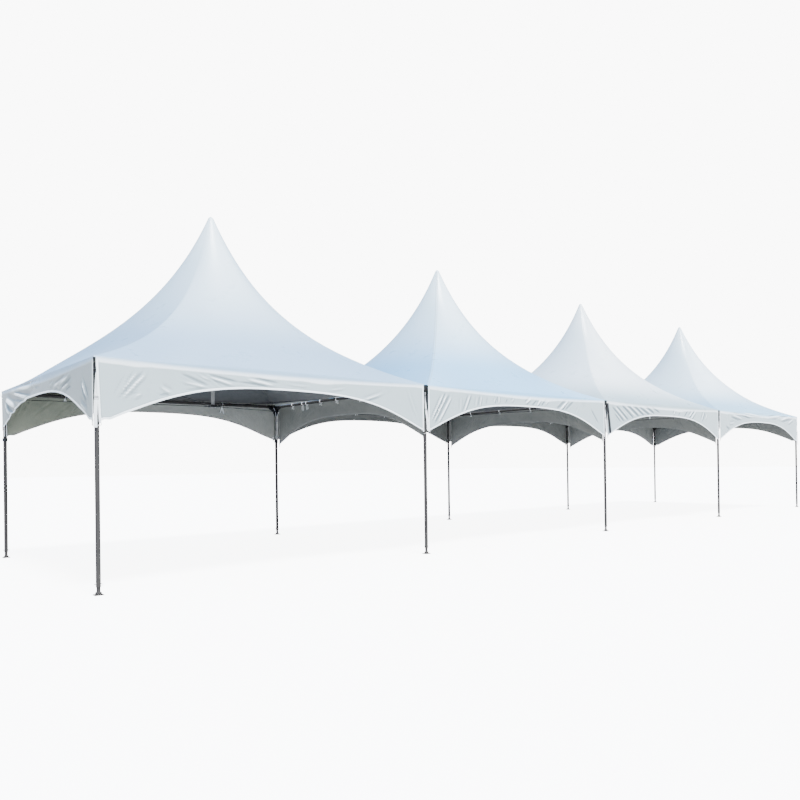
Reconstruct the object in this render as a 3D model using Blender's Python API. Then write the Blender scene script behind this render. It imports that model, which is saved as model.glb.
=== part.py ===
# A row of high-peak marquee tents on one aluminium frame: four square bays side by side, each with
# its own fabric top and a mast that stands on crossed cables. Arched valances hang all round the row,
# and one hangs on each line between two bays, from the roof on its high-x side.
# Metres, +Z up. The row runs along X, and the origin is on the ground under its centre.

import math

import bmesh
import bpy
from mathutils import Vector

# Driving dimensions of the frame
BAYS = 4
BAY = 4.57  # leg centre to leg centre, along the row and across it
RAIL_HEIGHT = 2.515  # centre line of the eave rails
TUBE_RADIUS = 0.0254  # legs, rails and masts are 50.8 mm tube
TUBE_SIDES = 12
GAP = 0.0003  # between pieces that touch

# Fittings: a block with a sleeve for each tube that ends there
BLOCK_HALF = 0.033
TEE_HALF_LENGTH = 0.045  # along the row, where the corners of two roofs rest on one block
SLEEVE_RADIUS = 0.031
SLEEVE_REACH = 0.17  # from the block's centre to a sleeve's mouth
SOCKET_FLOOR = 0.05  # from the block's centre to a tube's end

# Foot of each leg: a base plate, the boss on it, and the narrower spigot that the tube slides over
PLATE_SIDE = 0.09
PLATE_THICKNESS = 0.008
BOSS_RADIUS = 0.034
BOSS_HEIGHT = 0.024
SPIGOT_RADIUS = 0.020
SPIGOT_START = 0.040
TUBE_START = 0.085

# Mast, crossed cables and the disc between them
HUB_RADIUS = 0.065
HUB_THICKNESS = 0.03
HUB_TOP = 2.29
CABLE_RADIUS = 0.005
CABLE_SIDES = 8
CABLE_END_HEIGHT = 2.43  # where a cable meets a leg's sleeve
CROWN_RADIUS = 0.040
CROWN_RIM = 0.03  # height of the crown's straight rim, and of the flare under it

# Fabric tops
FABRIC = 0.004  # modelled thickness
ROOF_RISE = 2.675  # from the eave to the point that the hip curve aims at
HIP_CURVE = 0.51  # smaller is a sharper peak
SQUARING = 1.2  # how late the round of the peak turns into the square of the eave
TIP_SHARE = 0.014  # share of the hip that the crown covers
TIP_DOME = 0.05  # height of the closed tip over the crown
RING_SHARES = (TIP_SHARE, 0.05, 0.11, 0.19, 0.30, 0.44, 0.61, 0.80, 1.0)
VALANCE_COLUMNS = 10
# A valance's slit is from the roof's corner to its upright hem. Its two drops are those of the arch's
# edge below the eave, in the middle of the side and at the legs.
OUTER_VALANCE = {"slit": 0.05, "middle": 0.235, "end": 0.70}
CROSS_VALANCE = {"slit": 0.10, "middle": 0.33, "end": 0.78}  # between two bays, where it clears the cables

HALF_ROW = BAYS * BAY / 2
HALF_BAY = BAY / 2
FABRIC_LINE = BLOCK_HALF + GAP  # from a line of legs to the nearer face of a valance
EAVE = RAIL_HEIGHT + BLOCK_HALF + GAP + FABRIC  # upper face of the fabric at its edge
LEG_LINES = [-HALF_ROW + BAY * i for i in range(BAYS + 1)]
BAY_CENTRES = [-HALF_ROW + BAY * (i + 0.5) for i in range(BAYS)]
SIDE_NAMES = {-1: "near", 1: "far"}


# Materials

def finish(name, colour, roughness, metallic):
    material = bpy.data.materials.new(name)
    material.use_nodes = True
    shader = material.node_tree.nodes["Principled BSDF"]
    shader.inputs["Base Color"].default_value = (*colour, 1.0)
    shader.inputs["Roughness"].default_value = roughness
    shader.inputs["Metallic"].default_value = metallic
    return material


# Mesh helpers

def place(name, mesh, material, location=(0, 0, 0), turn=0.0):
    """Put a mesh in the scene as the named object, turned about Z."""
    thing = bpy.data.objects.new(name, mesh)
    bpy.context.collection.objects.link(thing)
    thing.location = location
    thing.rotation_euler = (0, 0, turn)
    if material and not mesh.materials:
        mesh.materials.append(material)
    return thing


def round_bar(start, end, radius, sides):
    """Mesh of a closed round bar from one point to another."""
    start, end = Vector(start), Vector(end)
    along = end - start
    build = bmesh.new()
    bmesh.ops.create_cone(
        build, cap_ends=True, segments=sides, radius1=radius, radius2=radius, depth=along.length
    )
    build.transform(along.to_track_quat("Z", "Y").to_matrix().to_4x4())
    bmesh.ops.translate(build, verts=build.verts, vec=(start + end) / 2)
    return mesh_from(build, "bar")


def block(low, high):
    """Mesh of a box between two corners."""
    low, high = Vector(low), Vector(high)
    build = bmesh.new()
    bmesh.ops.create_cube(build, size=1.0)
    bmesh.ops.scale(build, verts=build.verts, vec=high - low)
    bmesh.ops.translate(build, verts=build.verts, vec=(low + high) / 2)
    return mesh_from(build, "block")


def turned(profile, sides):
    """Mesh of a profile of (radius, height) pairs, turned about Z and closed at both ends."""
    build = bmesh.new()
    rings = []
    for radius, height in profile:
        angles = [2 * math.pi * k / sides for k in range(sides)]
        rings.append([build.verts.new((radius * math.cos(a), radius * math.sin(a), height)) for a in angles])
    for lower, upper in zip(rings, rings[1:]):
        for k in range(sides):
            following = (k + 1) % sides
            build.faces.new((lower[k], lower[following], upper[following], upper[k]))
    build.faces.new(rings[0][::-1])
    build.faces.new(rings[-1])
    return mesh_from(build, "turned")


def mesh_from(build, name):
    bmesh.ops.recalc_face_normals(build, faces=build.faces)
    mesh = bpy.data.meshes.new(name)
    build.to_mesh(mesh)
    build.free()
    return mesh


def carved(name, base, joined=(), cut=()):
    """One mesh: the base, with the joined meshes added and the cut ones taken away."""
    body = place(name, base, None)
    helpers = []
    for operation, meshes in (("UNION", joined), ("DIFFERENCE", cut)):
        for mesh in meshes:
            helper = place("helper", mesh, None)
            helper.hide_render = True
            helper.display_type = "WIRE"
            helpers.append(helper)
            boolean = body.modifiers.new(operation.lower(), "BOOLEAN")
            boolean.operation = operation
            boolean.object = helper
    graph = bpy.context.evaluated_depsgraph_get()
    result = bpy.data.meshes.new_from_object(body.evaluated_get(graph))
    result.name = name
    for thing in [body, *helpers]:
        bpy.data.objects.remove(thing)
    return result


def shade_round(mesh):
    mesh.shade_smooth()
    mesh.set_sharp_from_angle(angle=math.radians(40))


# Frame

def fitting_mesh(name, half_length, arms):
    """A block with one sleeve for each direction in arms, each with a socket for a tube."""
    sleeves = [round_bar((0, 0, 0), Vector(arm) * SLEEVE_REACH, SLEEVE_RADIUS, TUBE_SIDES) for arm in arms]
    past_mouth = SLEEVE_REACH + 0.01
    sockets = [
        round_bar(Vector(arm) * SOCKET_FLOOR, Vector(arm) * past_mouth, TUBE_RADIUS + GAP, TUBE_SIDES)
        for arm in arms
    ]
    corner = Vector((half_length, BLOCK_HALF, BLOCK_HALF))
    mesh = carved(name, block(-corner, corner), sleeves, sockets)
    shade_round(mesh)
    return mesh


def leg_mesh():
    """A leg that stands on its base plate, from the ground to the socket in its fitting."""
    half = PLATE_SIDE / 2
    plate = block((-half, -half, 0), (half, half, PLATE_THICKNESS))
    upright = turned(
        [
            (BOSS_RADIUS, PLATE_THICKNESS / 2),
            (BOSS_RADIUS, BOSS_HEIGHT),
            (SPIGOT_RADIUS, SPIGOT_START),
            (SPIGOT_RADIUS, TUBE_START),
            (TUBE_RADIUS, TUBE_START),
            (TUBE_RADIUS, RAIL_HEIGHT - SOCKET_FLOOR - GAP),
        ],
        TUBE_SIDES,
    )
    mesh = carved("leg", plate, [upright])
    shade_round(mesh)
    return mesh


def build_legs_and_fittings(steel, aluminium):
    leg = leg_mesh()
    corner = fitting_mesh("corner", BLOCK_HALF, [(1, 0, 0), (0, 1, 0), (0, 0, -1)])
    tee = fitting_mesh("tee", TEE_HALF_LENGTH, [(1, 0, 0), (-1, 0, 0), (0, 1, 0), (0, 0, -1)])
    quarter = math.pi / 2
    for side, side_name in SIDE_NAMES.items():
        for i, x in enumerate(LEG_LINES):
            number = i + 1
            place(f"leg_{side_name}_{number}", leg, aluminium, (x, side * HALF_BAY, 0))
            top = (x, side * HALF_BAY, RAIL_HEIGHT)
            if 0 < i < BAYS:
                place(f"tee_fitting_{side_name}_{number}", tee, steel, top, 0 if side < 0 else 2 * quarter)
                continue
            # The corner's two level sleeves point along +X and +Y before it is turned.
            turns = {(-1, 0): 0, (-1, BAYS): 1, (1, BAYS): 2, (1, 0): 3}
            place(f"corner_fitting_{side_name}_{number}", corner, steel, top, turns[side, i] * quarter)


def build_rails(aluminium):
    inset = SOCKET_FLOOR + GAP
    reach = HALF_BAY - inset
    along = round_bar((-reach, 0, 0), (reach, 0, 0), TUBE_RADIUS, TUBE_SIDES)
    across = round_bar((0, -reach, 0), (0, reach, 0), TUBE_RADIUS, TUBE_SIDES)
    shade_round(along)
    shade_round(across)
    for side, side_name in SIDE_NAMES.items():
        for i, x in enumerate(BAY_CENTRES):
            place(f"eave_rail_{side_name}_{i + 1}", along, aluminium, (x, side * HALF_BAY, RAIL_HEIGHT))
    for i, x in enumerate(LEG_LINES):
        place(f"cross_rail_{i + 1}", across, aluminium, (x, 0, RAIL_HEIGHT))


def build_cables(steel):
    """Two crossed cables on each bay's diagonals, with the disc that the mast stands on."""
    # The disc has the tube's sides, so that each cable leaves it through the middle of a flat.
    hub = turned([(HUB_RADIUS, HUB_TOP - HUB_THICKNESS), (HUB_RADIUS, HUB_TOP)], TUBE_SIDES)
    middle = HUB_TOP - HUB_THICKNESS / 2
    # A cable stops just short of the flat of the leg's sleeve that faces it.
    flat = SLEEVE_RADIUS * math.cos(math.pi / TUBE_SIDES)
    end = HALF_BAY - (flat + 2 * GAP) * math.sqrt(0.5)
    start = HUB_RADIUS / 2
    cables = [
        round_bar((sx * start, sy * start, middle), (sx * end, sy * end, CABLE_END_HEIGHT), CABLE_RADIUS, CABLE_SIDES)
        for sx in (-1, 1)
        for sy in (-1, 1)
    ]
    mesh = carved("cables", hub, cables)
    shade_round(mesh)
    for i, x in enumerate(BAY_CENTRES):
        place(f"crossed_cables_{i + 1}", mesh, steel, (x, 0, 0))


def roof_height(share):
    """Height of the roof's upper face at a share of the way from the peak to the eave."""
    return EAVE + ROOF_RISE * HIP_CURVE * (1 - share) / (HIP_CURVE + share)


def roof_lean(share, run):
    """Angle of the roof to the level there, where run is the level distance from the peak to the eave."""
    fall = ROOF_RISE * HIP_CURVE * (1 + HIP_CURVE) / (HIP_CURVE + share) ** 2
    return math.atan2(fall, run)


def build_masts(aluminium):
    crown_top = roof_height(TIP_SHARE) - FABRIC - GAP
    rim = crown_top - CROWN_RIM
    mesh = turned(
        [
            (TUBE_RADIUS, HUB_TOP + GAP),
            (TUBE_RADIUS, rim - CROWN_RIM),
            (CROWN_RADIUS, rim),
            (CROWN_RADIUS, crown_top),
        ],
        TUBE_SIDES,
    )
    shade_round(mesh)
    for i, x in enumerate(BAY_CENTRES):
        place(f"mast_{i + 1}", mesh, aluminium, (x, 0, 0))


# Fabric tops

def arch_drop(valance, u):
    """Drop of a valance's edge below the eave, where u runs from 0 at mid-side to 1 at a leg."""
    rise = u * u * (0.29 + 1.42 * u**2 - 0.71 * u**4)
    return valance["middle"] + (valance["end"] - valance["middle"]) * rise


def side_stations(length, slit):
    """Places along one side of a roof: its corner, the hem, the columns of the valance, the other hem."""
    width = length - 2 * slit
    return [0.0] + [slit + width * k / VALANCE_COLUMNS for k in range(VALANCE_COLUMNS + 1)]


class FabricSheet:
    """A sheet of fabric as points, faces and the step from each point to the sheet's inner face."""

    def __init__(self):
        self.points = []
        self.inward = []
        self.faces = []

    def add(self, point, inward):
        self.points.append(Vector(point))
        self.inward.append(Vector(inward))
        return len(self.points) - 1

    def triangles(self):
        """The faces, split across the shorter diagonal, so that both faces of the sheet fold alike."""
        for face in self.faces:
            if len(face) == 3:
                yield list(face)
                continue
            a, b, c, d = face
            across = (self.points[a] - self.points[c]).length
            if across <= (self.points[b] - self.points[d]).length:
                yield from ([a, b, c], [a, c, d])
            else:
                yield from ([a, b, d], [b, c, d])

    def closed_mesh(self, name):
        """The sheet with its inner face and the rim between the two."""
        count = len(self.points)
        inner = [p + step for p, step in zip(self.points, self.inward)]
        faces = list(self.triangles())
        uses = {}
        for face in faces:
            for a, b in zip(face, face[1:] + face[:1]):
                uses.setdefault(frozenset((a, b)), []).append((a, b))
        rim = [(b, a, a + count, b + count) for [(a, b)] in (u for u in uses.values() if len(u) == 1)]
        inner_faces = [[k + count for k in reversed(face)] for face in faces]
        mesh = bpy.data.meshes.new(name)
        mesh.from_pydata(self.points + inner, [], faces + inner_faces + rim)
        build = bmesh.new()
        build.from_mesh(mesh)
        bmesh.ops.recalc_face_normals(build, faces=build.faces)
        build.to_mesh(mesh)
        build.free()
        return mesh


def canopy_mesh(name, low_x, high_x, low_valance, high_valance):
    """One bay's top about its mast: low_x and high_x are the roof's edges, with what hangs from each."""
    half_y = HALF_BAY + FABRIC_LINE + FABRIC
    corners = [(low_x, -half_y), (high_x, -half_y), (high_x, half_y), (low_x, half_y)]
    inward_of_side = [(0, 1), (-1, 0), (0, -1), (1, 0)]
    valances = [OUTER_VALANCE, high_valance, OUTER_VALANCE, low_valance]
    sheet = FabricSheet()
    edge = []  # (point, inward step, valance and place on it) round the roof
    for side in range(4):
        start, end = Vector(corners[side]), Vector(corners[(side + 1) % 4])
        along = (end - start).normalized()
        length = (end - start).length
        inward = Vector(inward_of_side[side])
        before = Vector(inward_of_side[side - 1])
        valance = valances[side]
        slit = (valance or OUTER_VALANCE)["slit"]
        for k, station in enumerate(side_stations(length, slit)):
            step = (inward + before if k == 0 else inward) * FABRIC
            u = abs(2 * (station - slit) / (length - 2 * slit) - 1)
            column = (valance, min(u, 1.0)) if valance and k > 0 else None
            edge.append((start + along * station, step, column))
        # The far hem and the next corner follow from the next side's first place.
    diagonal = Vector((HALF_BAY, HALF_BAY)).length
    rings = []
    for share in RING_SHARES:
        squareness = share**SQUARING
        lean = 0.0 if share == TIP_SHARE else roof_lean(share, diagonal)
        ring = []
        for point, step, _ in edge:
            reach = share * ((1 - squareness) * diagonal + squareness * point.length)
            outward = point.normalized()
            if share == 1.0:
                inward = (step.x, step.y, -FABRIC)
            else:
                inward = (*(-outward * math.sin(lean) * FABRIC), -math.cos(lean) * FABRIC)
            ring.append(sheet.add((*(outward * reach), roof_height(share)), inward))
        rings.append(ring)
    count = len(edge)
    for inner, outer in zip(rings, rings[1:]):
        for k in range(count):
            following = (k + 1) % count
            sheet.faces.append([inner[k], outer[k], outer[following], inner[following]])
    # The closed tip is domed outside and flat inside, where the crown bears.
    tip = roof_height(TIP_SHARE)
    apex = sheet.add((0, 0, tip + TIP_DOME), (0, 0, -TIP_DOME - FABRIC))
    for k in range(count):
        sheet.faces.append([apex, rings[0][k], rings[0][(k + 1) % count]])
    # Valances hang from the roof's edge between the hems.
    eave = rings[-1]
    hem_points = {}
    for k, (point, step, column) in enumerate(edge):
        if column:
            bottom = (point.x, point.y, EAVE - arch_drop(*column))
            hem_points[k] = sheet.add(bottom, (step.x, step.y, 0))
    for k in hem_points:
        if k + 1 in hem_points:
            sheet.faces.append([eave[k], hem_points[k], hem_points[k + 1], eave[k + 1]])
    return sheet.closed_mesh(name)


def build_canopies(fabric):
    outer = HALF_BAY + FABRIC_LINE + FABRIC
    inner = HALF_BAY - FABRIC_LINE
    for i, x in enumerate(BAY_CENTRES):
        low_x, low_valance = (-outer, OUTER_VALANCE) if i == 0 else (-inner, CROSS_VALANCE)
        high_x, high_valance = (outer, OUTER_VALANCE) if i == BAYS - 1 else (inner, None)
        mesh = canopy_mesh(f"canopy_{i + 1}", low_x, high_x, low_valance, high_valance)
        shade_round(mesh)
        place(f"canopy_{i + 1}", mesh, fabric, (x, 0, 0))


def main():
    for thing in list(bpy.data.objects):
        bpy.data.objects.remove(thing)
    aluminium = finish("frame_aluminium", (0.42, 0.43, 0.44), 0.42, 1.0)
    steel = finish("galvanised_steel", (0.30, 0.31, 0.32), 0.5, 1.0)
    fabric = finish("white_fabric", (0.86, 0.89, 0.91), 0.45, 0.0)
    build_legs_and_fittings(steel, aluminium)
    build_rails(aluminium)
    build_cables(steel)
    build_masts(aluminium)
    build_canopies(fabric)


main()
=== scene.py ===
import math

import bpy
import numpy as np
from mathutils import Matrix, Vector


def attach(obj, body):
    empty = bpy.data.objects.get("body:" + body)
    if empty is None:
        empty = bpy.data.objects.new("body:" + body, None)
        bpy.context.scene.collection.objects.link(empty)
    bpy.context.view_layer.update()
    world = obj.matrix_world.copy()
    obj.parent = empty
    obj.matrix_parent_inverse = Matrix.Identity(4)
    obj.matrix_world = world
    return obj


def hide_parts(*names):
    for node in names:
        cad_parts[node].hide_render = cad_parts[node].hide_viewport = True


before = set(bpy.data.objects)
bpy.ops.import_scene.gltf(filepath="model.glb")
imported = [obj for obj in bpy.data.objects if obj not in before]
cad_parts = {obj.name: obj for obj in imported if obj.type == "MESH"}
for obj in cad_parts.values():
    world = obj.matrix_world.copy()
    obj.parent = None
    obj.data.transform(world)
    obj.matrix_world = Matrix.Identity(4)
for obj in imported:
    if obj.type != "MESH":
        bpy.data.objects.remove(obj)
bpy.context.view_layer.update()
chance = np.random.default_rng(23)

tent = {"bays": 4, "bay": 4.57, "railHeight": 2.515, "tubeRadius": 0.0254}
halfBay = tent["bay"] / 2
legLines = [tent["bay"] * (i - tent["bays"] / 2) for i in range(tent["bays"] + 1)]
bayCentres = [tent["bay"] * (i - tent["bays"] / 2 + 0.5) for i in range(tent["bays"])]
sides = {"near": -1, "far": 1}
up = Vector((0, 0, 1))

# The photo's camera: it also tells where a fold seen in the photo lies on the cloth.
cameraLook = {
    "location": (-11.484, -10.522, 1.3564),
    "yaw": -0.7578,
    "pitch": 0.0047,
    "roll": -0.0129,
    "lens": 31.98,
    "shift": (-0.0845, 0.0750),
}


def cameraTurn():
    yaw, pitch, roll = (cameraLook[name] for name in ("yaw", "pitch", "roll"))
    sideways = Matrix.Rotation(yaw, 4, "Z") @ Matrix.Rotation(math.pi / 2 + pitch, 4, "X")
    return sideways @ Matrix.Rotation(roll, 4, "Z")


# Shader nodes

# A socket that takes part in sums: every operator adds a Math node.
class Value:
    def __init__(self, tree, socket):
        self.tree = tree
        self.socket = socket

    def maths(self, operation, *others):
        node = self.tree.nodes.new("ShaderNodeMath")
        node.operation = operation
        for target, item in zip(node.inputs, (self, *others)):
            join(self.tree, target, item)
        return Value(self.tree, node.outputs[0])

    def __add__(self, other):
        return self.maths("ADD", other)

    def __sub__(self, other):
        return self.maths("SUBTRACT", other)

    def __mul__(self, other):
        return self.maths("MULTIPLY", other)

    __radd__ = __add__
    __rmul__ = __mul__


def join(tree, target, item):
    if isinstance(item, Value):
        tree.links.new(item.socket, target)
    elif isinstance(item, (tuple, list)) and target.type == "RGBA":
        target.default_value = (*item[:3], 1.0)
    else:
        target.default_value = item


# One node tree, a material's or the world's, and the few kinds of node that recur.
class Finish:
    def __init__(self, name, kind=bpy.data.materials):
        self.owner = kind.new(name)
        self.owner.use_nodes = True
        self.tree = self.owner.node_tree
        self.tree.nodes.clear()

    def node(self, kind, settings, values, output=0):
        node = self.tree.nodes.new("ShaderNode" + kind)
        for key, setting in settings.items():
            setattr(node, key, setting)
        for key, item in values.items():
            join(self.tree, node.inputs[key], item)
        return Value(self.tree, node.outputs[output]) if node.outputs else node

    def place(self):
        return self.node("TexCoord", {}, {}, "Object")

    def part(self, vector, letter):
        return self.node("SeparateXYZ", {}, {"Vector": vector}, letter)

    def stored(self, name):
        return self.node("Attribute", {"attribute_name": name}, {}, "Fac")

    def stretched(self, scale, turn=(0, 0, 0)):
        return self.node("Mapping", {}, {"Vector": self.place(), "Scale": scale, "Rotation": turn})

    def noise(self, scale, detail=2.0, roughness=0.5, at=None):
        values = {"Vector": at or self.place(), "Scale": scale, "Detail": detail, "Roughness": roughness}
        return self.node("TexNoise", {}, values)

    def wave(self, direction, scale, **values):
        settings = {"wave_type": "BANDS", "bands_direction": direction}
        return self.node("TexWave", settings, {"Vector": self.place(), "Scale": scale, **values})

    # 0 below low, 1 above high, smooth between.
    def step(self, item, low, high, fromValue=0.0, toValue=1.0):
        values = {"Value": item, "From Min": low, "From Max": high, "To Min": fromValue, "To Max": toValue}
        return self.node("MapRange", {"interpolation_type": "SMOOTHSTEP"}, values)

    def mix(self, share, first, second, blend="MIX"):
        settings = {"data_type": "RGBA", "blend_type": blend}
        return self.node("Mix", settings, {0: share, 6: first, 7: second}, 2)

    # Colours laid over each other, each by its own share.
    def coats(self, base, *layers):
        for share, colour in layers:
            base = self.mix(share, base, colour)
        return base

    def bump(self, height, distance, strength=1.0, normal=None):
        values = {"Height": height, "Distance": distance, "Strength": strength}
        if normal:
            values["Normal"] = normal
        return self.node("Bump", {}, values)

    def shade(self, colour, roughness, normal, **values):
        inputs = {"Base Color": colour, "Roughness": roughness, "Normal": normal}
        inputs.update({key.replace("_", " "): item for key, item in values.items()})
        self.node("OutputMaterial", {}, {"Surface": self.node("BsdfPrincipled", {}, inputs)})
        return self.owner


def tone(colour, factor):
    return tuple(c * factor for c in colour)


clothLook = {
    "peakColours": [(0.80, 0.92, 0.97), (0.80, 0.93, 0.98), (0.90, 0.95, 0.96), (0.84, 0.94, 0.98)],
    # the roofs bluer than the valances as painted sky light, though both are one cloth; the bays differ also
    # in their own tone
    "skyLitRoofColours": [(0.290, 0.430, 0.57), (0.25, 0.50, 0.73), (0.36, 0.46, 0.49), (0.34, 0.55, 0.70)],
    "paling": [(-2.4, -0.7), (-2.2, -0.8), (-1.3, -0.1), (-1.5, -0.3)],  # drops where a roof turns paler towards its peak, as painted light
    # painted shade in the hollows of the folds, for each bay
    "foldShadeColours": [(0.23, 0.28, 0.30), (0.15, 0.19, 0.21), (0.12, 0.16, 0.18), (0.16, 0.20, 0.22)],
    # painted shade on the lining under each bay
    "liningShades": [1.0, 0.46, 0.57, 0.70],
    "seamShades": [0.15, 0.9, 0.2, 0.25],
    "valanceColour": (0.395, 0.465, 0.475),
    # the hems' own white, also laid as painted highlight on fold ridges and along the eave
    "hemAndSheenColour": (0.93, 0.97, 0.97),
    "stitchColour": (0.20, 0.235, 0.255),
    "grimeColour": (0.33, 0.35, 0.33),
    "hemDirtColour": (0.30, 0.30, 0.28),
    "endRoofShade": (0.60, 0.67, 0.73),  # painted shade: multiplies the roof on its faces towards the row's ends
    # painted shade on the valances that face the row's ends
    "endValanceShade": 0.55,
    # painted shade in the fold hollows on the faces towards the row's ends
    "endFoldShadeColour": (0.07, 0.09, 0.11),
    # the lining's grey, darkened as painted shade; the roof's underside darker still as painted shade
    "liningColour": (0.405, 0.405, 0.375),
    "ceilingColour": (0.112, 0.110, 0.112),
    "leftLiningShade": (0.66, 0.69, 0.58),  # painted shade: multiplies the first lining towards the row's left end
    "liningSoilColour": (0.07, 0.07, 0.065),
    "liningHemColour": (0.37, 0.38, 0.37),
    "hemWidth": 0.026,
    "seamHalf": 0.016,
    "weaveScale": 105.0,
}


# The coated cloth of one bay's top.
class Cloth(Finish):
    def __init__(self, bay):
        super().__init__(f"coatedCloth{bay}")
        self.bay = bay
        self.drop = self.stored("drop")  # metres below the eave, negative on the roof
        self.hem = self.stored("hem")  # metres from the nearest free edge of a valance
        self.cloud = self.noise(0.7, 3.0, 0.55)
        self.patches = self.noise(2.6, 4.0, 0.6)
        normal = self.node("NewGeometry", {}, {}, "Normal")
        self.facing = self.part(normal, "X").maths("ABSOLUTE")  # 1 towards the row's ends
        self.welded = self.step(self.hem, clothLook["hemWidth"] - 0.004, clothLook["hemWidth"], 1.0, 0.0)
        self.seam = self.line(self.stored("hip"), clothLook["seamHalf"], 0.009)

    # This bay's own value.
    def own(self, name):
        return clothLook[name][self.bay - 1]

    # 1 where a distance is close to the given one.
    def line(self, distance, wanted, width):
        return self.step(distance.maths("SUBTRACT", wanted).maths("ABSOLUTE"), 0.002, width, 1.0, 0.0)

    def roof(self):
        plain = self.own("skyLitRoofColours")
        cloudy = self.step(self.cloud, 0.3, 0.75) * 0.5
        # painted light: the roof paler towards its peak
        paler = self.step(self.drop, *self.own("paling"), 1.0, 0.0)
        roof = self.coats(plain, (cloudy, tone(plain, 1.06)), (paler, self.own("peakColours")))
        # painted shade on the roof's faces towards the row's ends, less near the tip
        share = self.step(self.facing, 0.15, 0.70) * self.step(self.drop, -2.35, -1.9, 0.35, 1.0)
        return self.mix(share, roof, clothLook["endRoofShade"], "MULTIPLY")

    def valance(self):
        # painted shade on the valances towards the row's ends
        colour = clothLook["valanceColour"]
        return self.mix(self.step(self.facing, 0.3, 0.8), colour, tone(colour, clothLook["endValanceShade"]))

    def outside(self):
        look, drop, hem = clothLook, self.drop, self.hem
        atSide = self.step(self.facing, 0.25, 0.5, 1.0, 0.2)
        # painted highlight along each fold's ridge and painted shade in the hollows beside it
        fold = self.stored("fold")  # 1 on a ridge, below 0 in the hollows beside it
        hollowShade = self.mix(atSide, look["endFoldShadeColour"], self.own("foldShadeColours"))
        # painted highlight where the cloth turns over the rail
        lower = drop - self.step(self.cloud, 0.5, 0.7) * 0.03
        eaveSheen = self.step(drop, -0.050, 0.002) * self.step(lower, 0.000, 0.022, 1.0, 0.0) * atSide
        # stitch lines beside the hem, and the welded seam on each hip
        stitch = self.line(hem, look["hemWidth"] + 0.004, 0.006) * 0.8
        lines = stitch.maths("MAXIMUM", self.seam * self.own("seamShades"))
        # rain marks run down from the eave and gather at the hem
        streaks = self.noise(5.0, 3.0, 0.6, self.stretched((1.0, 1.0, 0.14)))
        grime = self.step(streaks, 0.55, 0.8) * self.step(self.patches, 0.35, 0.7) * 0.16
        dirtyHem = self.step(hem, 0.0, 0.010, 1.0, 0.0) * self.step(self.patches, 0.45, 0.7) * 0.3
        # the roof's colour, painted sky light, reaches down to its sag below the eave, with the valance's
        # colour below it
        return self.coats(
            self.mix(self.step(drop, -0.010, 0.020), self.roof(), self.valance()),
            (self.step(fold, -0.45, -0.05, 0.8, 0.0), hollowShade),
            (self.step(fold, 0.25, 1.0, 0.0, 0.85), look["hemAndSheenColour"]),
            (eaveSheen * 0.8, look["hemAndSheenColour"]),
            (self.welded, look["hemAndSheenColour"]),
            (lines * 0.55, look["stitchColour"]),
            (grime, look["grimeColour"]),
            (dirtyHem, look["hemDirtColour"]),
        )

    def inside(self):
        look = clothLook
        # painted shade: each bay's lining by its own factor, the roof's underside much darker, and the first
        # bay's lining darker towards the row's left end
        lining = tone(look["liningColour"], self.own("liningShades"))
        inside = self.mix(self.step(self.drop, -0.11, -0.05), look["ceilingColour"], lining)
        if self.bay == 1:
            leftwards = self.step(self.part(self.place(), "X"), -1.5, -0.5, 1.0, 0.0)
            inside = self.mix(leftwards, inside, look["leftLiningShade"], "MULTIPLY")
        soil = self.step(self.patches, 0.3, 0.8) * 0.2
        hems = self.welded * 0.3
        return self.coats(inside, (soil, look["liningSoilColour"]), (hems, look["liningHemColour"]))

    # Woven threads, a crumpled coating, and the raised hems and seams.
    def relief(self):
        threads = [self.wave(direction, clothLook["weaveScale"]) for direction in "XYZ"]
        weave = self.bump(threads[0] + threads[1] + threads[2], 0.00012, 0.5)
        crumple = self.noise(9.0, 5.0, 0.55, self.stretched((1.0, 1.0, 1.6), (0.3, 0.2, 0.5)))
        return self.bump(self.welded + self.seam * 0.6, 0.0012, 1.0, self.bump(crumple, 0.012, 0.2, weave))

    def paint(self):
        lining = self.stored("lining")  # 1 on the inner face
        specks = self.noise(160.0, 2.0, 0.7)
        rough = self.step(self.patches, 0.2, 0.8, 0.24, 0.32) + specks * 0.04 + lining * 0.25
        colour = self.mix(lining, self.outside(), self.inside())
        return self.shade(colour, rough, self.relief(), IOR=1.45, Specular_IOR_Level=0.5)


# Objects

def addObject(name, data):
    thing = bpy.data.objects.new(name, data)
    bpy.context.collection.objects.link(thing)
    return thing


def meshObject(name, points, faces, sharpAngle, material):
    mesh = bpy.data.meshes.new(name)
    mesh.from_pydata(points, [], faces)
    mesh.shade_smooth()
    mesh.set_sharp_from_angle(angle=math.radians(sharpAngle))
    mesh.materials.append(material)
    return addObject(name, mesh)


# Cloth tops

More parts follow.
